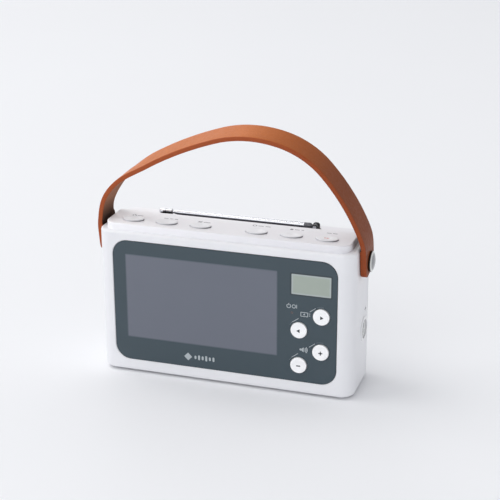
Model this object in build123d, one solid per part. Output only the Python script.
from build123d import *
from math import asin, cos, radians, sin, sqrt
import os

# Portable television with a leather carrying strap, in millimetres.
# X runs along the case, Y from front to back, Z up from the surface that the feet stand on.
# Everything is drawn about the middle of the case and moved by BODY_SHIFT_Y when it is written,
# because the strap leans forward and the origin is under the middle of the whole object.
BODY_SHIFT_Y = 1.4

# Case
CASE_WIDTH = 186.0
CASE_DEPTH = 51.0
CASE_BOTTOM = 1.5
CASE_TOP = 107.2
CASE_CORNER = 10.0
CASE_BOTTOM_ROUND = 2.5
CASE_TOP_ROUND = 2.0
WALL = 2.2
FRONT_WALL = 3.6
FRONT_Y = -CASE_DEPTH / 2
BACK_Y = CASE_DEPTH / 2
SIDE_X = CASE_WIDTH / 2
CAVITY_X = SIDE_X - WALL
CAVITY_FRONT = FRONT_Y + FRONT_WALL
CAVITY_BACK = BACK_Y - WALL
CAVITY_BOTTOM = CASE_BOTTOM + WALL
CAVITY_TOP = CASE_TOP - WALL
SPLIT_Y = 16.0
LIP_DEPTH = 2.5
LIP_GAP = 0.15
LIP_WALL = 1.3
LIP_BELOW_TOP = 8.0
CUT = 1.0  # how far a cutter runs past the face that it opens
SLIP = 0.05  # radial clearance round a part that turns or slides in another

# Front window and what shows through it
WINDOW_WIDTH = 163.0
WINDOW_HEIGHT = 90.4
WINDOW_Z = 55.55
WINDOW_CORNER = 11.0
WINDOW_THICK = 1.5
WINDOW_SINK = 0.15
WINDOW_GAP = 0.1
WINDOW_BEVEL = 0.5
SCREEN_WIDTH = 110.8
SCREEN_HEIGHT = 62.3
SCREEN_X = -16.8
SCREEN_Z = 59.7
CLOCK_WIDTH = 27.7
CLOCK_HEIGHT = 14.8
CLOCK_X = 63.2
CLOCK_Z = 82.9
PICTURE_MARGIN = 0.6
SCREEN_HALF_X = 59.0
SCREEN_HALF_Z = 35.0
CLOCK_GLASS_X = 15.5
CLOCK_GLASS_Z = 9.5
LAYER_GAP = 0.05
PANEL_THICK = 1.4
CLOCK_GLASS_THICK = 1.6
WINDOW_FRONT = FRONT_Y + WINDOW_SINK
WINDOW_BACK = WINDOW_FRONT + WINDOW_THICK

# Round keys on the front
FRONT_KEYS = {
    "channel_up_button": (70.6, 60.75),
    "channel_down_button": (54.85, 49.2),
    "volume_up_button": (70.4, 34.5),
    "volume_down_button": (54.8, 22.9),
}
KEY_RADIUS = 5.8
KEY_GAP = 0.45
KEY_PROUD = 0.9
KEY_FLANGE_RADIUS = 7.1
KEY_FLANGE_THICK = 0.8
KEY_STEM_RADIUS = 2.0
KEY_STEM_LENGTH = 0.8
KEY_EDGE_ROUND = 0.5
KEY_DISH_BALL = 26.0
KEY_DISH_DEPTH = 0.35
KEY_FLANGE_GAP = 0.3
POWER_LED = (49.8, 61.6)
LED_RADIUS = 0.95

# Raised deck on top, with a lower step along its back for the aerial
DECK_INSET = 2.6
DECK_SIDE_INSET = 4.6
DECK_TOP = 112.3
DECK_CORNER = 8.0
DECK_EDGE_ROUND = 0.9
DECK_WALL = 2.0
STEP_TOP = 108.9
STEP_Y = 6.4
STEP_WALL = 1.8
DECK_OPENING_X = 86.2
DECK_OPENING_Y = 19.7
DECK_OPENING_CORNER = 4.0
SKIRT_GAP = 0.2
SKIRT_WALL = 1.2
SKIRT_BOTTOM = CAVITY_TOP - 1.0
DECK_X = SIDE_X - DECK_SIDE_INSET
DECK_Y = BACK_Y - DECK_INSET
POCKET_X = DECK_OPENING_X - SKIRT_GAP - SKIRT_WALL
POCKET_Y = DECK_OPENING_Y - SKIRT_GAP - SKIRT_WALL
POCKET_TOP = DECK_TOP - DECK_WALL
STEP_POCKET_TOP = STEP_TOP - STEP_WALL

# Oval keys on the deck
TOP_KEYS = {
    "power_button": -70.3,
    "mode_button": -45.3,
    "menu_button": -20.3,
    "clock_button": 20.3,
    "lamp_button": 45.3,
    "alarm_button": 70.3,
}
TOP_KEY_Y = -12.3
TOP_KEY_HALF_X = 7.75
TOP_KEY_HALF_Y = 4.75
TOP_KEY_GAP = 0.25
TOP_KEY_PROUD = 1.2
TOP_KEY_EDGE_ROUND = 0.5
TOP_KEY_RIM = 0.85
TOP_KEY_FLANGE_THICK = 1.0
TOP_KEY_STEM_LENGTH = 2.0
TOP_KEY_DISH_BALL = 30.0
TOP_KEY_DISH_DEPTH = 0.28

# Carrying strap: a flat band that rises from both sides of the case in one plane
HANDLE_Z = 95.3
HANDLE_X = SIDE_X + 3.0
HANDLE_LEAN = 12.0
STRAP_THICK = 3.2
STRAP_END_HALF = 11.75
STRAP_LOW_HALF = 10.45
STRAP_LOW_AT = 36.0
STRAP_TOP_HALF = 9.35
STRAP_TOP_AT = 95.0
STRAP_TAIL = 7.8
STRAP_TAIL_ROUND = 4.5
STRAP_STRAIGHT = 8.0
# Each bend is (radius, turn in degrees). The last bend's radius closes the arch.
STRAP_BENDS = [(52.2, 53.4), (252.0, 18.2), (75.0, 34.5), (57.3, 35.6), (149.0, 20.3)]
STRAP_LAST_TURN = 18.0
STRAP_PLY_THICK = 1.05  # second layer of leather inside each end
STRAP_PLY_TOP = 13.0
BUSH_RADIUS = 3.0
BUSH_CLEARANCE = 0.08
HANDLE_WASHER_RADIUS = 8.0
HANDLE_WASHER_THICK = 0.25
HANDLE_GAP = 0.2
HANDLE_SHANK_RADIUS = 2.0
DOME_RADIUS = 7.3
DOME_RIM = 1.3
DOME_RISE = 1.8
INSERT_RADIUS = 2.8
HANDLE_SEAT = HANDLE_X + STRAP_THICK / 2 + HANDLE_GAP
HANDLE_BOSS_RADIUS = 5.2
HANDLE_BOSS_LENGTH = 8.8

# Telescopic aerial, folded down along the step
AERIAL_X = 55.2
AERIAL_Y = 13.9
AERIAL_Z = 111.4
TURRET_RADIUS = 3.9
TURRET_TOP = 109.2
TURRET_GAP = 0.1
TURRET_STEM_RADIUS = 2.5
EAR_INNER = 1.7
EAR_THICK = 1.2
EAR_HALF_X = 2.4
EAR_TOP = 113.4
EAR_ROUND = 1.8
PIN_RADIUS = 0.9
PIN_HEAD_RADIUS = 1.3
PIN_HEAD = 0.4
CLIP_RADIUS = 3.2
CLIP_THICK = 0.8
EYE_RADIUS = 1.75
EYE_HALF = 1.6
NECK_END = AERIAL_X - 3.2
TUBE_START = AERIAL_X - 8.0
TUBE_BORES = [(2.05, 1.80), (1.75, 1.50), (1.45, 1.20), (1.15, 0.90)]
TUBE_FAR_END = -46.2
TUBE_STEP_OUT = 1.3
COLLAR_FROM = 3.2
COLLAR_LENGTH = 3.8
COLLAR_PROUD = 0.2
TUBE_STEP_IN = 2.2
TUBE_SOCKET = 2.2
TIP_ROD_RADIUS = 0.85
TIP_CAP_RADIUS = 2.1
TIP_CAP_LENGTH = 9.6
TIP_END = -60.6
TIP_HOLE_DEPTH = 3.0
REST_LENGTH = 6.5
REST_WALL = 1.2
REST_DROP = 0.8

# Lamp in the right side of the case
LAMP_Y = 5.5
LAMP_Z = 42.5
LAMP_FLANGE_RADIUS = 9.0
LAMP_FLANGE_THICK = 0.7
LAMP_BARREL_RADIUS = 7.6
LAMP_BARREL_LENGTH = 9.0
LAMP_LENS_RADIUS = 6.8
LAMP_LENS_BACK = SIDE_X - 1.2
LAMP_LENS_BALL = 40.0
LAMP_LENS_PROUD = 0.6
REFLECTOR_FRONT = SIDE_X - 1.3
REFLECTOR_DEPTH = 6.0
REFLECTOR_THROAT = 1.8
REFLECTOR_RIM = 0.4
LAMP_LED_RADIUS = 1.5

# Battery compartment and its door in the back
CELL_RADIUS = 7.2
CELL_LENGTH = 50.3
TRAY_X = 57.0
TRAY_BOTTOM = 8.5
TRAY_TOP = 40.5
TRAY_FRONT = 7.5
TRAY_WALL = 1.5
CELL_RISE = 1.0
CELL_SPACE = 0.8
CELL_NUB = 1.0
CELL_NUB_RADIUS = 2.7
CELL_FROM_MIDDLE = 1.6
CELL_Y = TRAY_FRONT + 0.4 + CELL_RADIUS
CONTACT_HALF = 5.0
CONTACT_THICK = 0.4
SPRING_RADIUS = 3.0
DOOR_RIM = 2.0
DOOR_PLATE = 1.2
DOOR_CORNER = 2.3
DOOR_GAP = 0.2
DOOR_GRIP_WIDTH = 14.0
DOOR_GRIP_GROOVE = 0.9
DOOR_GRIP_PITCH = 1.8

# Speaker behind slots in the back
SPEAKER_X = 30.0
SPEAKER_Z = 72.0
SPEAKER_RADIUS = 20.0
SLOT_WIDTH = 1.6
SLOT_PITCH = 4.0
SLOT_COUNT = 9
GRILLE_RADIUS = 18.0
BASKET_DEPTH = 8.0
BASKET_RIM = 1.2
BASKET_SHEET = 0.8
BASKET_STEP = 2.0
CONE_DEPTH = 4.5
CONE_THROAT = 6.0
CONE_PAPER = 0.7
MAGNET_RADIUS = 11.0
MAGNET_DEPTH = 5.0

# Sockets in the left side
JACK_Y = 0.0
EARPHONE_Z = 58.0
POWER_SOCKET_Z = 42.5
EARPHONE_BORE = 1.8
POWER_SOCKET_BORE = 2.8
EARPHONE_NOSE = 3.0
POWER_SOCKET_NOSE = 4.0
EARPHONE_DEPTH = 14.0
POWER_SOCKET_DEPTH = 10.0
POWER_PIN_RADIUS = 0.8
JACK_HALF_Y = 4.5
EARPHONE_HALF_Z = 3.2
POWER_SOCKET_HALF_Z = 4.8
JACK_BODY_END = -77.0

# Boards. Each outline is (left, right, bottom, top) seen from the front.
BOARD_THICK = 1.6
KEY_BOARD_FRONT = -17.6
FRAME_BACK = -17.0
FRAME_SHEET = 0.8
MAIN_BOARD_FRONT = -12.0
MAIN_BOARD = (-76.0, 40.0, 26.0, 94.0)
TUNER_CAN = (-68.0, -38.0, 60.0, 86.0)
TUNER_CAN_DEPTH = 5.0
KEY_BOARD = (45.2, 80.1, 14.0, 98.0)
JACK_BOARD = (-89.0, -74.0, 34.0, 66.0)
TOP_BOARD_TOP = 105.0
TOP_BOARD_X = 82.0
TOP_BOARD_FRONT = -17.0
TOP_BOARD_BACK = 8.0
SWITCH_HALF = 3.0
SWITCH_BUTTON_RADIUS = 1.5
SWITCH_BUTTON = 0.3

# Screws and the posts that they go into
CASE_SCREWS = [(x, z) for x in (-84.0, 84.0) for z in (12.0, 80.0)]
CASE_POST = 3.6
CASE_POST_SPACE = 0.3
CASE_PILOT = 1.3
CASE_SHANK = 1.2
CASE_SHANK_HOLE = 1.7
CASE_HEAD = 2.9
CASE_HEAD_HOLE = 3.2
CASE_HEAD_SINK = 3.0
CASE_HEAD_HEIGHT = 1.8
CASE_SCREW_END = 2.0
SMALL_HOLE = 0.95
SMALL_CLEARANCE = 1.1
SMALL_SHANK = 0.9
SMALL_HEAD = 1.9
SMALL_HEAD_HEIGHT = 1.2
FRAME_POST = 2.8
FRAME_EAR = 3.5
STANDOFF = 2.5
KEY_BOARD_POST = 2.2
FRAME_EARS = [(x, z) for x in (-60.0, 28.0) for z in (20.6, 98.8)]
MAIN_STANDOFFS = [(x, z) for x in (-72.0, 36.0) for z in (30.0, 90.0)]
KEY_BOARD_BOSSES = [(48.5, 95.2), (77.5, 95.2), (47.5, 37.8), (77.6, 17.5)]
TOP_BOARD_BOSSES = [-57.8, -32.8, 0.0, 32.8, 57.8]
TOP_BOSS_Y = 3.0

# Feet
FEET = [(x, y) for x in (-78.0, 78.0) for y in (-15.0, 9.5)]
FOOT_RADIUS = 5.0
FOOT_RECESS = 0.6
FOOT_ROUND = 0.5


# ---------------------------------------------------------------- simple shapes

def block(x0, x1, y0, y1, z0, z1):
    """A plain box between two corners."""
    return Pos((x0 + x1) / 2, (y0 + y1) / 2, (z0 + z1) / 2) * Box(x1 - x0, y1 - y0, z1 - z0)


def rod_x(x0, x1, y, z, radius):
    """A round bar along X."""
    return Pos((x0 + x1) / 2, y, z) * Rot(0, 90, 0) * Cylinder(radius, x1 - x0)


def rod_y(x, y0, y1, z, radius):
    """A round bar along Y."""
    return Pos(x, (y0 + y1) / 2, z) * Rot(90, 0, 0) * Cylinder(radius, y1 - y0)


def rod_z(x, y, z0, z1, radius):
    """A round bar along Z."""
    return Pos(x, y, (z0 + z1) / 2) * Cylinder(radius, z1 - z0)


def tube_x(x0, x1, y, z, outer, inner):
    """A round tube along X."""
    return rod_x(x0, x1, y, z, outer) - rod_x(x0 - CUT, x1 + CUT, y, z, inner)


def upright_prism(width, depth, corner, z0, z1):
    """A rounded rectangle in plan, centred on the case and raised from z0 to z1."""
    return Pos(0, 0, z0) * extrude(RectangleRounded(width, depth, corner), z1 - z0)


def front_prism(x, z, width, height, corner, y0, y1, taper=0):
    """A rounded rectangle seen from the front, from y0 back to y1. A taper narrows it backwards."""
    outline = RectangleRounded(width, height, corner)
    return Pos(x, y0, z) * Rot(-90, 0, 0) * extrude(outline, y1 - y0, taper=taper)


def plate_y(outline, y0, y1):
    """A flat plate facing front, with its outline given as left, right, bottom and top."""
    left, right, bottom, top = outline
    return block(left, right, y0, y1, bottom, top)


def oval(x, y, half_x, half_y, z0, z1):
    """An elliptical pad standing along Z."""
    return Pos(x, y, z0) * extrude(Ellipse(half_x, half_y), z1 - z0)


def group(shapes):
    """Several separate solids that make one node."""
    return Compound([solid for shape in shapes for solid in shape.solids()])


def small_screw(x, z, head_front, length):
    """A small screw driven forwards, with its head bearing on the face at head_front."""
    head = rod_y(x, head_front, head_front + SMALL_HEAD_HEIGHT, z, SMALL_HEAD)
    return head + rod_y(x, head_front - length, head_front, z, SMALL_SHANK)


# ---------------------------------------------------------------- case

def case_block():
    """The outer form of the case below the deck."""
    body = upright_prism(CASE_WIDTH, CASE_DEPTH, CASE_CORNER, CASE_BOTTOM, CASE_TOP)
    body = fillet(body.faces().sort_by(Axis.Z)[0].edges(), CASE_BOTTOM_ROUND)
    return fillet(body.faces().sort_by(Axis.Z)[-1].edges(), CASE_TOP_ROUND)


def case_wall():
    """The case with its inside and the deck's opening taken out."""
    inside = upright_prism(
        2 * CAVITY_X, 2 * CAVITY_BACK, CASE_CORNER - WALL, CAVITY_BOTTOM, CAVITY_TOP
    )
    inside = inside & block(-SIDE_X, SIDE_X, CAVITY_FRONT, BACK_Y, 0, CASE_TOP)
    opening = upright_prism(
        2 * DECK_OPENING_X, 2 * DECK_OPENING_Y, DECK_OPENING_CORNER, CAVITY_TOP - CUT, CASE_TOP + CUT
    )
    return case_block() - inside - opening


def window_cutters():
    """The recess for the window, its bevelled rim, and the openings behind it."""
    recess = front_prism(
        0, WINDOW_Z, WINDOW_WIDTH + 2 * WINDOW_GAP, WINDOW_HEIGHT + 2 * WINDOW_GAP,
        WINDOW_CORNER + WINDOW_GAP, FRONT_Y - CUT, WINDOW_BACK,
    )
    grow = 2 * (WINDOW_GAP + WINDOW_BEVEL)
    rim = front_prism(
        0, WINDOW_Z, WINDOW_WIDTH + grow, WINDOW_HEIGHT + grow,
        WINDOW_CORNER + grow / 2, FRONT_Y, FRONT_Y + WINDOW_BEVEL, taper=45,
    )
    screen = picture_opening(SCREEN_X, SCREEN_Z, SCREEN_WIDTH, SCREEN_HEIGHT)
    clock = picture_opening(CLOCK_X, CLOCK_Z, CLOCK_WIDTH, CLOCK_HEIGHT)
    led = rod_y(POWER_LED[0], FRONT_Y, CAVITY_FRONT + CUT, POWER_LED[1], LED_RADIUS + 3 * SLIP)
    return [recess, rim, screen, clock, led] + key_holes(FRONT_Y, CAVITY_FRONT + CUT)


def picture_opening(x, z, width, height):
    """An opening through the front wall, a margin larger than the picture behind it."""
    margin = 2 * PICTURE_MARGIN
    return front_prism(x, z, width + margin, height + margin, 1.0, FRONT_Y, CAVITY_FRONT + CUT)


def key_holes(y0, y1):
    """Round holes for the four front keys."""
    return [rod_y(x, y0, y1, z, KEY_RADIUS + KEY_GAP) for x, z in FRONT_KEYS.values()]


def front_bosses():
    """Posts inside the front shell for its screws, and two bosses for the strap's inserts."""
    posts = [rod_y(x, CAVITY_FRONT, SPLIT_Y, z, CASE_POST) for x, z in CASE_SCREWS]
    posts += [rod_y(x, CAVITY_FRONT, FRAME_BACK - FRAME_SHEET, z, FRAME_POST) for x, z in FRAME_EARS]
    posts += [rod_y(x, CAVITY_FRONT, KEY_BOARD_FRONT, z, KEY_BOARD_POST) for x, z in KEY_BOARD_BOSSES]
    for side in (-1, 1):
        reach = sorted((side * (CAVITY_X - HANDLE_BOSS_LENGTH), side * (SIDE_X - WALL / 2)))
        posts.append(rod_x(*reach, 0, HANDLE_Z, HANDLE_BOSS_RADIUS))
    return posts


def front_pilot_holes():
    """Screw holes in the posts, and the holes for the strap's screws and threaded inserts."""
    holes = [rod_y(x, CASE_SCREW_END - 2 * CUT, SPLIT_Y + CUT, z, CASE_PILOT) for x, z in CASE_SCREWS]
    for x, z in FRAME_EARS + KEY_BOARD_BOSSES:
        holes.append(rod_y(x, CAVITY_FRONT, FRAME_BACK + CUT, z, SMALL_HOLE))
    for side in (-1, 1):
        insert = sorted((side * (CAVITY_X - HANDLE_BOSS_LENGTH - CUT), side * (CAVITY_X - CUT / 2)))
        through = sorted((side * (CAVITY_X - CUT), side * (SIDE_X + CUT)))
        holes.append(rod_x(*insert, 0, HANDLE_Z, INSERT_RADIUS + 0.03))
        holes.append(rod_x(*through, 0, HANDLE_Z, HANDLE_SHANK_RADIUS + 2 * SLIP))
    return holes


def side_holes():
    """Openings for the lamp on the right and the sockets on the left."""
    inside = 2 * WALL
    return [
        rod_x(SIDE_X - inside, SIDE_X + CUT, LAMP_Y, LAMP_Z, LAMP_BARREL_RADIUS + 0.1),
        rod_x(-SIDE_X - CUT, -SIDE_X + inside, JACK_Y, EARPHONE_Z, EARPHONE_NOSE + 0.1),
        rod_x(-SIDE_X - CUT, -SIDE_X + inside, JACK_Y, POWER_SOCKET_Z, POWER_SOCKET_NOSE + 0.1),
    ]


def front_shell():
    """The deep front half of the case, which carries nearly everything."""
    shell = case_wall() & block(-SIDE_X, SIDE_X, FRONT_Y, SPLIT_Y, 0, CASE_TOP)
    for post in front_bosses():
        shell = shell + post
    for cutter in window_cutters() + front_pilot_holes() + side_holes():
        shell = shell - cutter
    for x, y in FEET:
        shell = shell - rod_z(x, y, CASE_BOTTOM - CUT, CASE_BOTTOM + FOOT_RECESS, FOOT_RADIUS + 0.1)
    return shell


def shell_lip():
    """A lip on the rear shell that slides inside the front shell's sides and bottom."""
    outer_x = CAVITY_X - LIP_GAP
    outer_bottom = CAVITY_BOTTOM + LIP_GAP
    top = CAVITY_TOP - LIP_BELOW_TOP
    lip = block(-outer_x, outer_x, SPLIT_Y - LIP_DEPTH, SPLIT_Y + 2, outer_bottom, top)
    inner_x = outer_x - LIP_WALL
    return lip - block(-inner_x, inner_x, 0, BACK_Y, outer_bottom + LIP_WALL, CASE_TOP)


def battery_tray():
    """The walls of the battery compartment, open to the back."""
    outer = block(
        -TRAY_X - TRAY_WALL, TRAY_X + TRAY_WALL, TRAY_FRONT - TRAY_WALL, CAVITY_BACK + CUT / 2,
        TRAY_BOTTOM - TRAY_WALL, TRAY_TOP + TRAY_WALL,
    )
    return outer - block(-TRAY_X, TRAY_X, TRAY_FRONT, BACK_Y, TRAY_BOTTOM, TRAY_TOP)


def door_plate(margin, corner, y0, y1):
    """A rounded rectangle over the compartment, larger than it by the margin all round."""
    middle = (TRAY_BOTTOM + TRAY_TOP) / 2
    height = TRAY_TOP - TRAY_BOTTOM + 2 * margin
    return front_prism(0, middle, 2 * (TRAY_X + margin), height, corner, y0, y1)


def door_plug(inset, y0, y1):
    """A block in the doorway, smaller than the compartment by the inset all round."""
    return block(-TRAY_X + inset, TRAY_X - inset, y0, y1, TRAY_BOTTOM + inset, TRAY_TOP - inset)


def door_cutters():
    """The doorway into the battery compartment and the rebate that the door's plate lies in."""
    doorway = door_plug(1.0, CAVITY_BACK - CUT, BACK_Y + CUT)
    rebate = door_plate(DOOR_RIM, DOOR_CORNER + DOOR_GAP, BACK_Y - DOOR_PLATE - LAYER_GAP, BACK_Y + CUT)
    return [doorway, rebate]


def speaker_slots():
    """Horizontal sound slots in the back, inside a circle."""
    slots = []
    for index in range(SLOT_COUNT):
        rise = (index - (SLOT_COUNT - 1) / 2) * SLOT_PITCH
        half = sqrt(GRILLE_RADIUS ** 2 - rise ** 2)
        z = SPEAKER_Z + rise
        slots.append(front_prism(
            SPEAKER_X, z, 2 * half, SLOT_WIDTH, SLOT_WIDTH / 2 - 0.01, CAVITY_BACK - 1, BACK_Y + 1
        ))
    return slots


def rear_shell():
    """The shallow back half, with the battery compartment and the speaker slots."""
    shell = case_wall() & block(-SIDE_X, SIDE_X, SPLIT_Y, BACK_Y, 0, CASE_TOP)
    shell = shell + shell_lip() + battery_tray()
    for x, z in CASE_SCREWS:
        shell = shell + rod_y(x, SPLIT_Y, CAVITY_BACK + CUT, z, CASE_POST)
        # The lip is cut away beside the front shell's post.
        shell = shell - rod_y(x, SPLIT_Y - LIP_DEPTH - CUT, SPLIT_Y, z, CASE_POST + CASE_POST_SPACE)
        shell = shell - rod_y(x, SPLIT_Y - CUT, BACK_Y, z, CASE_SHANK_HOLE)
        shell = shell - rod_y(x, BACK_Y - CASE_HEAD_SINK, BACK_Y + CUT, z, CASE_HEAD_HOLE)
    for cutter in door_cutters() + speaker_slots():
        shell = shell - cutter
    return shell


def battery_door():
    """A plate that lies flush in the back, with a plug that fills the doorway and finger grooves."""
    door = door_plate(DOOR_RIM - DOOR_GAP, DOOR_CORNER, BACK_Y - DOOR_PLATE, BACK_Y)
    door = door + door_plug(1.3, CAVITY_BACK - 0.1, BACK_Y - DOOR_PLATE)
    for row in range(3):
        z = TRAY_TOP - 5 + row * DOOR_GRIP_PITCH
        door = door - front_prism(
            0, z, DOOR_GRIP_WIDTH, DOOR_GRIP_GROOVE, DOOR_GRIP_GROOVE / 2 - 0.01,
            BACK_Y - DOOR_PLATE / 2, BACK_Y + CUT,
        )
    return door


def rubber_feet():
    """Four round feet glued into shallow recesses."""
    feet = []
    for x, y in FEET:
        foot = rod_z(x, y, 0, CASE_BOTTOM + FOOT_RECESS, FOOT_RADIUS)
        feet.append(fillet(foot.edges().group_by(Axis.Z)[0], FOOT_ROUND))
    return group(feet)


def case_screws():
    """Four screws that join the shells from the back."""
    seat = BACK_Y - CASE_HEAD_SINK
    screws = []
    for x, z in CASE_SCREWS:
        head = rod_y(x, seat, seat + CASE_HEAD_HEIGHT, z, CASE_HEAD)
        screws.append(head + rod_y(x, CASE_SCREW_END, seat, z, CASE_SHANK))
    return group(screws)


# ---------------------------------------------------------------- window and displays

def front_window():
    """One clear sheet with a printed back, with holes for the keys and the power light."""
    sheet = front_prism(
        0, WINDOW_Z, WINDOW_WIDTH, WINDOW_HEIGHT, WINDOW_CORNER, WINDOW_FRONT, WINDOW_BACK
    )
    for cutter in key_holes(FRONT_Y, CAVITY_FRONT):
        sheet = sheet - cutter
    return sheet - rod_y(POWER_LED[0], FRONT_Y, CAVITY_FRONT, POWER_LED[1], LED_RADIUS + SLIP)


def screen_block(margin, y0, y1):
    """A block behind the screen's opening, larger than the screen by the margin all round."""
    half_x = SCREEN_HALF_X + margin
    half_z = SCREEN_HALF_Z + margin
    return block(SCREEN_X - half_x, SCREEN_X + half_x, y0, y1, SCREEN_Z - half_z, SCREEN_Z + half_z)


def screen_panel():
    front = CAVITY_FRONT + LAYER_GAP
    return screen_block(0, front, front + PANEL_THICK)


def screen_backlight():
    front = CAVITY_FRONT + PANEL_THICK + 2 * LAYER_GAP
    return screen_block(0, front, FRAME_BACK - FRAME_SHEET - LAYER_GAP)


def screen_frame():
    """A pressed tray behind the screen, with ears to the front shell and posts for the main board."""
    sheet_front = FRAME_BACK - FRAME_SHEET
    tray = screen_block(1.0, CAVITY_FRONT + 2 * LAYER_GAP, FRAME_BACK)
    tray = tray - screen_block(0.2, CAVITY_FRONT - CUT, sheet_front)
    for x, z in FRAME_EARS:
        reach = sorted((z, SCREEN_Z))
        tray = tray + block(x - FRAME_EAR, x + FRAME_EAR, sheet_front, FRAME_BACK, *reach)
        tray = tray + rod_y(x, sheet_front, FRAME_BACK, z, FRAME_EAR)
        tray = tray - rod_y(x, sheet_front - CUT, FRAME_BACK + CUT, z, SMALL_CLEARANCE)
    for x, z in MAIN_STANDOFFS:
        tray = tray + rod_y(x, FRAME_BACK, MAIN_BOARD_FRONT, z, STANDOFF)
        tray = tray - rod_y(x, FRAME_BACK + CUT / 2, MAIN_BOARD_FRONT + CUT, z, SMALL_HOLE)
    return tray


def clock_block(margin, y0, y1):
    """A block behind the small display's opening, smaller than its glass by the margin."""
    half_x = CLOCK_GLASS_X - margin
    half_z = CLOCK_GLASS_Z - margin
    return block(CLOCK_X - half_x, CLOCK_X + half_x, y0, y1, CLOCK_Z - half_z, CLOCK_Z + half_z)


def clock_display():
    """The small display's glass."""
    front = CAVITY_FRONT + LAYER_GAP
    return clock_block(0, front, front + CLOCK_GLASS_THICK)


def clock_backlight():
    """The light box between the small display and the key board."""
    return clock_block(0.5, CAVITY_FRONT + CLOCK_GLASS_THICK + 2 * LAYER_GAP, KEY_BOARD_FRONT)


# ---------------------------------------------------------------- boards

def drilled_board(outline, front, holes):
    """A circuit board facing front, with screw holes."""
    board = plate_y(outline, front, front + BOARD_THICK)
    for x, z in holes:
        board = board - rod_y(x, front - CUT, front + BOARD_THICK + CUT, z, SMALL_CLEARANCE)
    return board


def main_board():
    return drilled_board(MAIN_BOARD, MAIN_BOARD_FRONT, MAIN_STANDOFFS)


def key_board():
    return drilled_board(KEY_BOARD, KEY_BOARD_FRONT, KEY_BOARD_BOSSES)


def tuner_can():
    """The screening can over the tuner, on the back of the main board."""
    front = MAIN_BOARD_FRONT + BOARD_THICK
    return plate_y(TUNER_CAN, front, front + TUNER_CAN_DEPTH)


def key_switches():
    """Four push switches behind the front keys."""
    switches = []
    base_front = KEY_BOARD_FRONT - 1.0
    for x, z in FRONT_KEYS.values():
        outline = (x - SWITCH_HALF, x + SWITCH_HALF, z - SWITCH_HALF, z + SWITCH_HALF)
        base = plate_y(outline, base_front, KEY_BOARD_FRONT)
        button = rod_y(x, base_front - SWITCH_BUTTON, base_front, z, SWITCH_BUTTON_RADIUS)
        switches.append(base + button)
    return group(switches)


def top_key_board():
    board = block(
        -TOP_BOARD_X, TOP_BOARD_X, TOP_BOARD_FRONT, TOP_BOARD_BACK, TOP_BOARD_TOP - BOARD_THICK, TOP_BOARD_TOP
    )
    for x in TOP_BOARD_BOSSES:
        bottom = TOP_BOARD_TOP - BOARD_THICK - CUT
        board = board - rod_z(x, TOP_BOSS_Y, bottom, TOP_BOARD_TOP + CUT, SMALL_CLEARANCE)
    return board


def top_key_switches():
    """Six push switches under the deck's keys."""
    switches = []
    base_top = TOP_BOARD_TOP + 0.8
    for x in TOP_KEYS.values():
        base = block(
            x - SWITCH_HALF, x + SWITCH_HALF, TOP_KEY_Y - SWITCH_HALF, TOP_KEY_Y + SWITCH_HALF,
            TOP_BOARD_TOP, base_top,
        )
        button = rod_z(x, TOP_KEY_Y, base_top, base_top + SWITCH_BUTTON, SWITCH_BUTTON_RADIUS)
        switches.append(base + button)
    return group(switches)


def board_screws():
    """Small screws through the screen frame's ears, the main board and the key board."""
    screws = [small_screw(x, z, FRAME_BACK, 4.0) for x, z in FRAME_EARS]
    screws += [small_screw(x, z, MAIN_BOARD_FRONT + BOARD_THICK, 5.0) for x, z in MAIN_STANDOFFS]
    screws += [small_screw(x, z, KEY_BOARD_FRONT + BOARD_THICK, 4.5) for x, z in KEY_BOARD_BOSSES]
    return group(screws)


def top_board_screws():
    """Small screws up through the top key board into the deck's posts."""
    seat = TOP_BOARD_TOP - BOARD_THICK
    screws = []
    for x in TOP_BOARD_BOSSES:
        head = rod_z(x, TOP_BOSS_Y, seat - SMALL_HEAD_HEIGHT, seat, SMALL_HEAD)
        screws.append(head + rod_z(x, TOP_BOSS_Y, seat, seat + 5.0, SMALL_SHANK))
    return group(screws)


# ---------------------------------------------------------------- keys

def front_key(x, z):
    """A round dished cap with a flange behind the wall and a stem that meets its switch."""
    flange_front = CAVITY_FRONT + KEY_FLANGE_GAP
    flange_back = flange_front + KEY_FLANGE_THICK
    cap = rod_y(x, FRONT_Y - KEY_PROUD, flange_front, z, KEY_RADIUS)
    cap = fillet(cap.edges().group_by(Axis.Y)[0], KEY_EDGE_ROUND)
    dish_y = FRONT_Y - KEY_PROUD + KEY_DISH_DEPTH - KEY_DISH_BALL
    cap = cap - Pos(x, dish_y, z) * Sphere(KEY_DISH_BALL)
    flange = rod_y(x, flange_front, flange_back, z, KEY_FLANGE_RADIUS)
    stem = rod_y(x, flange_back, flange_back + KEY_STEM_LENGTH, z, KEY_STEM_RADIUS)
    return cap + flange + stem


def top_key(x):
    """An oval cap with a shallow dish, a flange under the deck and a stem above its switch."""
    top = DECK_TOP + TOP_KEY_PROUD
    flange_top = POCKET_TOP - KEY_FLANGE_GAP
    flange_bottom = flange_top - TOP_KEY_FLANGE_THICK
    cap = oval(x, TOP_KEY_Y, TOP_KEY_HALF_X, TOP_KEY_HALF_Y, flange_top, top)
    cap = fillet(cap.edges().group_by(Axis.Z)[-1], TOP_KEY_EDGE_ROUND)
    dish_z = top + TOP_KEY_DISH_BALL - TOP_KEY_DISH_DEPTH
    cap = cap - Pos(x, TOP_KEY_Y, dish_z) * Sphere(TOP_KEY_DISH_BALL)
    flange = oval(
        x, TOP_KEY_Y, TOP_KEY_HALF_X + TOP_KEY_RIM, TOP_KEY_HALF_Y + TOP_KEY_RIM, flange_bottom, flange_top
    )
    stem_bottom = flange_bottom - TOP_KEY_STEM_LENGTH
    return cap + flange + rod_z(x, TOP_KEY_Y, stem_bottom, flange_bottom, KEY_STEM_RADIUS)


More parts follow.
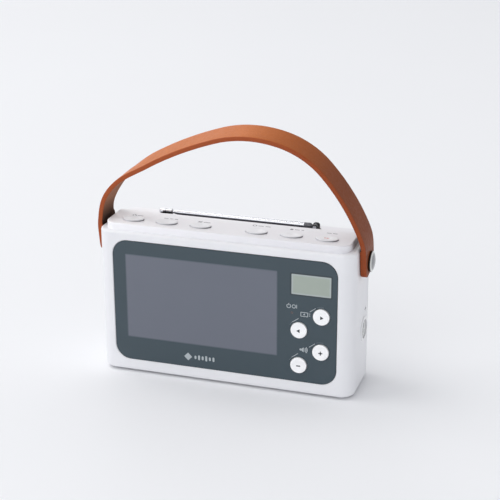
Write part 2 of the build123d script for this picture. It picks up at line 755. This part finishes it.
def power_led():
    """A light pipe from the key board to the face of the window."""
    return rod_y(POWER_LED[0], WINDOW_FRONT, KEY_BOARD_FRONT, POWER_LED[1], LED_RADIUS)


# ---------------------------------------------------------------- deck

def top_deck():
    """The raised lid: a plateau with key holes, the aerial's step, and a skirt into the case."""
    deck = upright_prism(2 * DECK_X, 2 * DECK_Y, DECK_CORNER, CASE_TOP, DECK_TOP)
    deck = fillet(deck.faces().sort_by(Axis.Z)[-1].edges(), DECK_EDGE_ROUND)
    deck = deck - block(-SIDE_X, SIDE_X, STEP_Y, BACK_Y, STEP_TOP, DECK_TOP + CUT)
    skirt_corner = DECK_OPENING_CORNER - SKIRT_GAP
    deck = deck + upright_prism(
        2 * (POCKET_X + SKIRT_WALL), 2 * (POCKET_Y + SKIRT_WALL), skirt_corner, SKIRT_BOTTOM, CASE_TOP
    )
    plateau_back = STEP_Y - STEP_WALL
    deck = deck - block(-POCKET_X, POCKET_X, -POCKET_Y, plateau_back, 0, POCKET_TOP)
    deck = deck - block(-POCKET_X, POCKET_X, plateau_back - CUT, POCKET_Y, 0, STEP_POCKET_TOP)
    for x in TOP_BOARD_BOSSES:
        deck = deck + rod_z(x, TOP_BOSS_Y, TOP_BOARD_TOP, POCKET_TOP + CUT / 2, KEY_BOARD_POST)
        deck = deck - rod_z(x, TOP_BOSS_Y, TOP_BOARD_TOP - CUT, POCKET_TOP - CUT / 2, SMALL_HOLE)
    for x in TOP_KEYS.values():
        half_x = TOP_KEY_HALF_X + TOP_KEY_GAP
        half_y = TOP_KEY_HALF_Y + TOP_KEY_GAP
        deck = deck - oval(x, TOP_KEY_Y, half_x, half_y, POCKET_TOP - CUT, DECK_TOP + CUT)
    stem_hole = TURRET_STEM_RADIUS + SLIP
    return deck - rod_z(AERIAL_X, AERIAL_Y, STEP_POCKET_TOP - CUT, STEP_TOP + CUT, stem_hole)


# ---------------------------------------------------------------- carrying strap

def strap_last_radius():
    """The radius of the last bend, which brings the arch back to the far side of the case."""
    heading = 90.0
    reach = -HANDLE_X
    for radius, turn in STRAP_BENDS:
        reach += radius * (sin(radians(heading)) - sin(radians(heading - turn)))
        heading -= turn
    return (HANDLE_X - reach) / (sin(radians(heading)) - sin(radians(-90.0)))


def strap_line(offset):
    """Arcs of the band's middle line moved outwards by offset, as edges in the XZ plane."""
    edges = []
    x, z, heading = -HANDLE_X, STRAP_STRAIGHT, 90.0
    start = Vector(x - offset, 0, -STRAP_TAIL)
    for radius, turn in STRAP_BENDS + [(strap_last_radius(), STRAP_LAST_TURN)]:
        centre_x = x + radius * sin(radians(heading))
        centre_z = z - radius * cos(radians(heading))
        points = []
        for share in (0.0, 0.5, 1.0):
            angle = radians(heading - turn * share)
            reach = radius + offset
            points.append(Vector(centre_x - reach * sin(angle), 0, centre_z + reach * cos(angle)))
        edges += [Line(start, points[0])] if not edges else []
        edges.append(ThreePointArc(*points))
        heading -= turn
        x = centre_x - radius * sin(radians(heading))
        z = centre_z + radius * cos(radians(heading))
    edges.append(Line(edges[-1] @ 1, Vector(HANDLE_X + offset, 0, -STRAP_TAIL)))
    return edges


def strap_width_outline():
    """The band seen from the side: widest at its ends, with rounded tails."""
    right = [
        Line((STRAP_END_HALF, -STRAP_TAIL + STRAP_TAIL_ROUND), (STRAP_END_HALF, 0)),
        ThreePointArc((STRAP_END_HALF, 0), (STRAP_LOW_HALF, STRAP_LOW_AT), (STRAP_TOP_HALF, STRAP_TOP_AT)),
    ]
    left = [
        ThreePointArc((-STRAP_TOP_HALF, STRAP_TOP_AT), (-STRAP_LOW_HALF, STRAP_LOW_AT), (-STRAP_END_HALF, 0)),
        Line((-STRAP_END_HALF, 0), (-STRAP_END_HALF, -STRAP_TAIL + STRAP_TAIL_ROUND)),
    ]
    flat = STRAP_END_HALF - STRAP_TAIL_ROUND
    low = -STRAP_TAIL
    bend = STRAP_TAIL_ROUND * (1 - sqrt(0.5))
    corner_left = ThreePointArc(
        (-STRAP_END_HALF, low + STRAP_TAIL_ROUND), (-STRAP_END_HALF + bend, low + bend), (-flat, low)
    )
    corner_right = ThreePointArc(
        (flat, low), (STRAP_END_HALF - bend, low + bend), (STRAP_END_HALF, low + STRAP_TAIL_ROUND)
    )
    over = Line((STRAP_TOP_HALF, STRAP_TOP_AT), (-STRAP_TOP_HALF, STRAP_TOP_AT))
    return make_face(right + [over] + left + [corner_left, Line((-flat, low), (flat, low)), corner_right])


def handle_strap():
    """The leather band, doubled inside its ends, with a hole at each end, leaning forward."""
    outer = strap_line(STRAP_THICK / 2)
    inner = strap_line(-STRAP_THICK / 2)
    ends = [Line(outer[0] @ 0, inner[0] @ 0), Line(outer[-1] @ 1, inner[-1] @ 1)]
    arch = extrude(make_face(outer + inner + ends), STRAP_END_HALF + 1, dir=(0, 1, 0), both=True)
    side = extrude(Plane.YZ * strap_width_outline(), HANDLE_X + 10, both=True)
    band = arch & side
    face = HANDLE_X - STRAP_THICK / 2
    for end in (-1, 1):
        reach = sorted((end * (face - STRAP_PLY_THICK), end * (face + STRAP_THICK / 4)))
        patch = block(*reach, -STRAP_END_HALF, STRAP_END_HALF, -STRAP_TAIL, STRAP_PLY_TOP)
        band = band + (patch & side)
    for end in (-HANDLE_X, HANDLE_X):
        band = band - rod_x(end - 5, end + 5, 0, 0, BUSH_RADIUS + BUSH_CLEARANCE)
    return Pos(0, 0, HANDLE_Z) * Rot(HANDLE_LEAN, 0, 0) * band


def both_sides(shape):
    """A shape drawn on the right side, and its mirror image on the left."""
    return group([shape, mirror(shape, Plane.YZ)])


def handle_inserts():
    """Threaded brass inserts in the side posts."""
    return both_sides(tube_x(
        CAVITY_X - HANDLE_BOSS_LENGTH, CAVITY_X - 0.8, 0, HANDLE_Z,
        INSERT_RADIUS, HANDLE_SHANK_RADIUS + SLIP,
    ))


def handle_washers():
    """Thin washers between the strap and the case."""
    return both_sides(tube_x(
        SIDE_X, SIDE_X + HANDLE_WASHER_THICK, 0, HANDLE_Z, HANDLE_WASHER_RADIUS, BUSH_RADIUS + SLIP
    ))


def handle_bushes():
    """Bushes that the strap turns on, clamped between the case and the screw heads."""
    return both_sides(tube_x(
        SIDE_X, HANDLE_SEAT, 0, HANDLE_Z, BUSH_RADIUS, HANDLE_SHANK_RADIUS + SLIP
    ))


def handle_screws():
    """Dome-headed screws at both ends of the strap."""
    shank_end = CAVITY_X - HANDLE_BOSS_LENGTH + 1.0
    ball = (DOME_RADIUS ** 2 + DOME_RISE ** 2) / (2 * DOME_RISE)
    half_angle = asin(DOME_RADIUS / ball) / 2
    rim = HANDLE_SEAT + DOME_RIM
    top = rim + DOME_RISE
    rise_at_half = top - ball * (1 - cos(half_angle))
    profile = [
        Polyline(
            (top, 0), (shank_end, 0), (shank_end, HANDLE_SHANK_RADIUS), (HANDLE_SEAT, HANDLE_SHANK_RADIUS),
            (HANDLE_SEAT, DOME_RADIUS), (rim, DOME_RADIUS),
        ),
        ThreePointArc((rim, DOME_RADIUS), (rise_at_half, ball * sin(half_angle)), (top, 0)),
    ]
    return both_sides(Pos(0, 0, HANDLE_Z) * revolve(make_face(profile), Axis.X))


# ---------------------------------------------------------------- aerial

def antenna_turret():
    """A disc on a stem that turns in the deck, with two ears for the aerial's pin."""
    turret = rod_z(AERIAL_X, AERIAL_Y, STEP_TOP + TURRET_GAP, TURRET_TOP, TURRET_RADIUS)
    turret = turret + rod_z(AERIAL_X, AERIAL_Y, STEP_POCKET_TOP - 2, STEP_TOP + 0.5, TURRET_STEM_RADIUS)
    for side in (-1, 1):
        near, far = sorted((side * EAR_INNER, side * (EAR_INNER + EAR_THICK)))
        ear = block(
            AERIAL_X - EAR_HALF_X, AERIAL_X + EAR_HALF_X, AERIAL_Y + near, AERIAL_Y + far,
            TURRET_TOP - 0.2, EAR_TOP,
        )
        turret = turret + fillet(ear.edges().filter_by(Axis.Y).group_by(Axis.Z)[-1], EAR_ROUND)
    reach = EAR_INNER + EAR_THICK + CUT
    return turret - rod_y(AERIAL_X, AERIAL_Y - reach, AERIAL_Y + reach, AERIAL_Z, PIN_RADIUS + 0.02)


def antenna_clip():
    """The retaining ring on the turret's stem, under the deck."""
    top = STEP_POCKET_TOP - 0.1
    ring = rod_z(AERIAL_X, AERIAL_Y, top - CLIP_THICK, top, CLIP_RADIUS)
    return ring - rod_z(AERIAL_X, AERIAL_Y, top - CLIP_THICK - CUT, top + CUT, TURRET_STEM_RADIUS + 0.02)


def antenna_pin():
    """The hinge pin through the ears, with a small head at each end."""
    half = EAR_INNER + EAR_THICK
    pin = rod_y(AERIAL_X, AERIAL_Y - half, AERIAL_Y + half, AERIAL_Z, PIN_RADIUS)
    for side in (-1, 1):
        near, far = sorted((side * half, side * (half + PIN_HEAD)))
        pin = pin + rod_y(AERIAL_X, AERIAL_Y + near, AERIAL_Y + far, AERIAL_Z, PIN_HEAD_RADIUS)
    return pin


def antenna_knuckle():
    """The flat eye on the pin, its neck and shoulder, and the plug that carries the first tube."""
    eye = rod_y(AERIAL_X, AERIAL_Y - EYE_HALF, AERIAL_Y + EYE_HALF, AERIAL_Z, EYE_RADIUS)
    neck = block(
        NECK_END - 0.5, AERIAL_X, AERIAL_Y - EYE_HALF, AERIAL_Y + EYE_HALF,
        AERIAL_Z - EYE_RADIUS + 0.4, AERIAL_Z + EYE_RADIUS - 0.9,
    )
    neck = neck + rod_x(TUBE_START, NECK_END, AERIAL_Y, AERIAL_Z, TUBE_BORES[0][0])
    plug = rod_x(TUBE_START - TUBE_SOCKET, TUBE_START + 0.5, AERIAL_Y, AERIAL_Z, TUBE_BORES[0][1] - 0.02)
    reach = EYE_HALF + CUT
    pin_hole = rod_y(AERIAL_X, AERIAL_Y - reach, AERIAL_Y + reach, AERIAL_Z, PIN_RADIUS + SLIP)
    return eye + neck + plug - pin_hole


def antenna_tube(index):
    """Tube number index, counted from the root, collapsed into the one before it."""
    outer, inner = TUBE_BORES[index]
    far_end = TUBE_FAR_END - index * TUBE_STEP_OUT
    root_end = TUBE_START - (TUBE_SOCKET + index * TUBE_STEP_IN if index else 0)
    tube = tube_x(far_end, root_end, AERIAL_Y, AERIAL_Z, outer, inner)
    if index:
        return tube
    collar_end = root_end - COLLAR_FROM
    collar = (outer + COLLAR_PROUD, inner)
    return tube + tube_x(collar_end - COLLAR_LENGTH, collar_end, AERIAL_Y, AERIAL_Z, *collar)


def antenna_rod():
    """The solid innermost length."""
    root_end = TUBE_START - TUBE_SOCKET - len(TUBE_BORES) * TUBE_STEP_IN
    far_end = TIP_END + TIP_CAP_LENGTH - TIP_HOLE_DEPTH
    return rod_x(far_end, root_end, AERIAL_Y, AERIAL_Z, TIP_ROD_RADIUS)


def antenna_cap():
    """The knob on the tip, with a blind hole for the rod and a groove round its middle."""
    inner_end = TIP_END + TIP_CAP_LENGTH
    cap = rod_x(TIP_END, inner_end, AERIAL_Y, AERIAL_Z, TIP_CAP_RADIUS)
    cap = fillet(cap.edges().group_by(Axis.X)[0], 1.0)
    cap = fillet(cap.edges().group_by(Axis.X)[-1], 0.4)
    middle = TIP_END + TIP_CAP_LENGTH / 2
    groove = (TIP_CAP_RADIUS + CUT, TIP_CAP_RADIUS - 0.35)
    cap = cap - tube_x(middle - 0.4, middle + 0.4, AERIAL_Y, AERIAL_Z, *groove)
    hole_end = inner_end - TIP_HOLE_DEPTH - SLIP
    return cap - rod_x(hole_end, inner_end + CUT, AERIAL_Y, AERIAL_Z, TIP_ROD_RADIUS + 0.02)


def antenna_rest():
    """A stop on the step, open to the top and back, that the aerial's tip lies against."""
    left = TIP_END + 1
    right = left + REST_LENGTH
    wall_back = AERIAL_Y - TIP_CAP_RADIUS - 0.35
    front = wall_back - REST_WALL
    wall = block(left, right, front, wall_back, STEP_TOP, AERIAL_Z - REST_DROP)
    return wall + block(left, right, front, AERIAL_Y + 3, STEP_TOP, STEP_TOP + 0.2)


# ---------------------------------------------------------------- lamp

def lamp_bezel():
    """A ring in the right side with a barrel that holds the lens and the reflector."""
    flange = rod_x(SIDE_X, SIDE_X + LAMP_FLANGE_THICK, LAMP_Y, LAMP_Z, LAMP_FLANGE_RADIUS)
    flange = fillet(flange.edges().group_by(Axis.X)[-1], 0.5)
    barrel = rod_x(SIDE_X - LAMP_BARREL_LENGTH, SIDE_X, LAMP_Y, LAMP_Z, LAMP_BARREL_RADIUS)
    inside = SIDE_X - LAMP_BARREL_LENGTH - CUT
    return flange + barrel - rod_x(inside, SIDE_X + 2 * CUT, LAMP_Y, LAMP_Z, LAMP_LENS_RADIUS + SLIP)


def lamp_lens():
    """A clear lens with a slightly domed face."""
    blank = rod_x(LAMP_LENS_BACK, SIDE_X + 2, LAMP_Y, LAMP_Z, LAMP_LENS_RADIUS)
    middle = SIDE_X + LAMP_LENS_PROUD - LAMP_LENS_BALL
    return blank & (Pos(middle, LAMP_Y, LAMP_Z) * Sphere(LAMP_LENS_BALL))


def lamp_reflector():
    """A bright cone behind the lens."""
    cup = rod_x(REFLECTOR_FRONT - REFLECTOR_DEPTH, REFLECTOR_FRONT, LAMP_Y, LAMP_Z, LAMP_LENS_RADIUS)
    cone = Cone(REFLECTOR_THROAT, LAMP_LENS_RADIUS - REFLECTOR_RIM, REFLECTOR_DEPTH + 0.02)
    return cup - Pos(REFLECTOR_FRONT - REFLECTOR_DEPTH / 2, LAMP_Y, LAMP_Z) * Rot(0, 90, 0) * cone


def lamp_led():
    """The lamp's light source on its small round board."""
    back = REFLECTOR_FRONT - REFLECTOR_DEPTH
    board = rod_x(back - 1.0, back, LAMP_Y, LAMP_Z, LAMP_LENS_RADIUS - 0.2)
    return board + rod_x(back, back + 1.2, LAMP_Y, LAMP_Z, LAMP_LED_RADIUS)


# ---------------------------------------------------------------- sound, power and sockets

def speaker_basket():
    """A pressed cup with a rim that lies on the inside of the back."""
    rim_front = CAVITY_BACK - BASKET_RIM
    cup_radius = SPEAKER_RADIUS - BASKET_STEP
    floor = CAVITY_BACK - BASKET_DEPTH
    rim = rod_y(SPEAKER_X, rim_front, CAVITY_BACK, SPEAKER_Z, SPEAKER_RADIUS)
    cup = rod_y(SPEAKER_X, floor, rim_front, SPEAKER_Z, cup_radius)
    hollow_radius = cup_radius - BASKET_SHEET
    return rim + cup - rod_y(SPEAKER_X, floor + BASKET_SHEET, CAVITY_BACK + CUT, SPEAKER_Z, hollow_radius)


def speaker_cone():
    """A thin paper cone, open to the back."""
    cone = Rot(-90, 0, 0) * Cone(CONE_THROAT, SPEAKER_RADIUS - 3, CONE_DEPTH)
    middle = CAVITY_BACK - 0.4 - CONE_DEPTH / 2
    return Pos(SPEAKER_X, middle, SPEAKER_Z) * cone - Pos(SPEAKER_X, middle + CONE_PAPER, SPEAKER_Z) * cone


def speaker_magnet():
    back = CAVITY_BACK - BASKET_DEPTH
    return rod_y(SPEAKER_X, back - MAGNET_DEPTH, back, SPEAKER_Z, MAGNET_RADIUS)


def cell_places():
    """The side and the height of each cell, two rows of two."""
    low = TRAY_BOTTOM + CELL_RISE + CELL_RADIUS
    return [(side, low + row * (2 * CELL_RADIUS + CELL_SPACE)) for side in (-1, 1) for row in (0, 1)]


def battery_cells():
    """Four round cells, two and two."""
    cells = []
    for side, z in cell_places():
        outer = side * (CELL_FROM_MIDDLE + CELL_LENGTH - CELL_NUB)
        body = rod_x(*sorted((side * CELL_FROM_MIDDLE, outer)), CELL_Y, z, CELL_RADIUS)
        cells.append(body + rod_x(*sorted((outer, outer + side * CELL_NUB)), CELL_Y, z, CELL_NUB_RADIUS))
    return group(cells)


def battery_contacts():
    """Sprung contacts at both ends of the compartment."""
    contacts = []
    for side, z in cell_places():
        wall = side * TRAY_X
        face = wall - side * CONTACT_THICK
        plate = block(
            *sorted((wall, face)), CELL_Y - CONTACT_HALF, CELL_Y + CONTACT_HALF,
            z - CONTACT_HALF, z + CONTACT_HALF,
        )
        tip = side * (CELL_FROM_MIDDLE + CELL_LENGTH + 0.4)
        contacts.append(plate + rod_x(*sorted((face, tip)), CELL_Y, z, SPRING_RADIUS))
    return group(contacts)


def socket(z, nose_radius, bore, depth, half_z):
    """A socket body behind the left side, with a round nose in the wall and a bore."""
    inside = -CAVITY_X + 0.2
    body = block(inside, JACK_BODY_END, JACK_Y - JACK_HALF_Y, JACK_Y + JACK_HALF_Y, z - half_z, z + half_z)
    nose = rod_x(-SIDE_X, inside, JACK_Y, z, nose_radius)
    return body + nose - rod_x(-SIDE_X - CUT, -SIDE_X + depth, JACK_Y, z, bore)


def earphone_jack():
    return socket(EARPHONE_Z, EARPHONE_NOSE, EARPHONE_BORE, EARPHONE_DEPTH, EARPHONE_HALF_Z)


def dc_jack():
    """The power inlet, with its centre pin."""
    body = socket(
        POWER_SOCKET_Z, POWER_SOCKET_NOSE, POWER_SOCKET_BORE, POWER_SOCKET_DEPTH, POWER_SOCKET_HALF_Z
    )
    pin_end = -SIDE_X + POWER_SOCKET_DEPTH + CUT
    return body + rod_x(-SIDE_X + 1.5, pin_end, JACK_Y, POWER_SOCKET_Z, POWER_PIN_RADIUS)


def jack_board():
    front = JACK_Y + JACK_HALF_Y
    return plate_y(JACK_BOARD, front, front + BOARD_THICK)


# ---------------------------------------------------------------- writing

def all_nodes():
    """Every separate piece of the object by its name."""
    nodes = {
        maker.__name__: maker()
        for maker in (
            front_shell, rear_shell, battery_door, rubber_feet, case_screws,
            front_window, screen_panel, screen_backlight, screen_frame, clock_display,
            clock_backlight, main_board, tuner_can, key_board, key_switches, top_key_board,
            top_key_switches, board_screws, top_board_screws, power_led, top_deck,
            handle_strap, handle_inserts, handle_washers, handle_bushes, handle_screws,
            antenna_turret, antenna_clip, antenna_pin, antenna_knuckle, antenna_rod,
            antenna_cap, antenna_rest, lamp_bezel, lamp_lens, lamp_reflector, lamp_led,
            speaker_basket, speaker_cone, speaker_magnet, battery_cells, battery_contacts,
            earphone_jack, dc_jack, jack_board,
        )
    }
    for name, (x, z) in FRONT_KEYS.items():
        nodes[name] = front_key(x, z)
    for name, x in TOP_KEYS.items():
        nodes[name] = top_key(x)
    for index in range(len(TUBE_BORES)):
        nodes[f"antenna_tube_{index + 1}"] = antenna_tube(index)
    return nodes


os.makedirs("parts", exist_ok=True)
for name, shape in all_nodes().items():
    export_step(Pos(0, BODY_SHIFT_Y, 0) * shape, f"parts/{name}.step")
